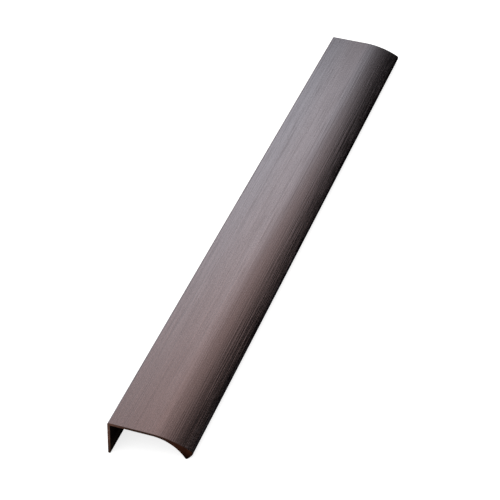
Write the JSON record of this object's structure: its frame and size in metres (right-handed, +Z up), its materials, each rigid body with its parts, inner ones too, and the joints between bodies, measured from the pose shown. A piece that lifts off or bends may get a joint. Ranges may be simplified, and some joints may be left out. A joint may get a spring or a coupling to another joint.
{
  "type": "finger pull profile",
  "caption": "Handleless finger pull profile: an extruded angle whose top plate curves down into a thick front lip, with countersunk screw holes in its rear leg.",
  "frame": {"origin": "centre of the footprint at mid-length, on the floor that the piece lies on", "axes": "+Y along the length, +X from the rear leg towards the lip, +Z up; the piece leans forward 12.7 degrees about Y, as it rests on its leg's foot and its lip's tip"},
  "size_m": [0.0416, 0.35, 0.0176],
  "materials": {
    "dark_bronze_aluminium": "brushed along the length, dark bronze anodised"
  },
  "bodies": {
    "root": {"pull_profile": "dark_bronze_aluminium"}
  },
  "joints": []
}
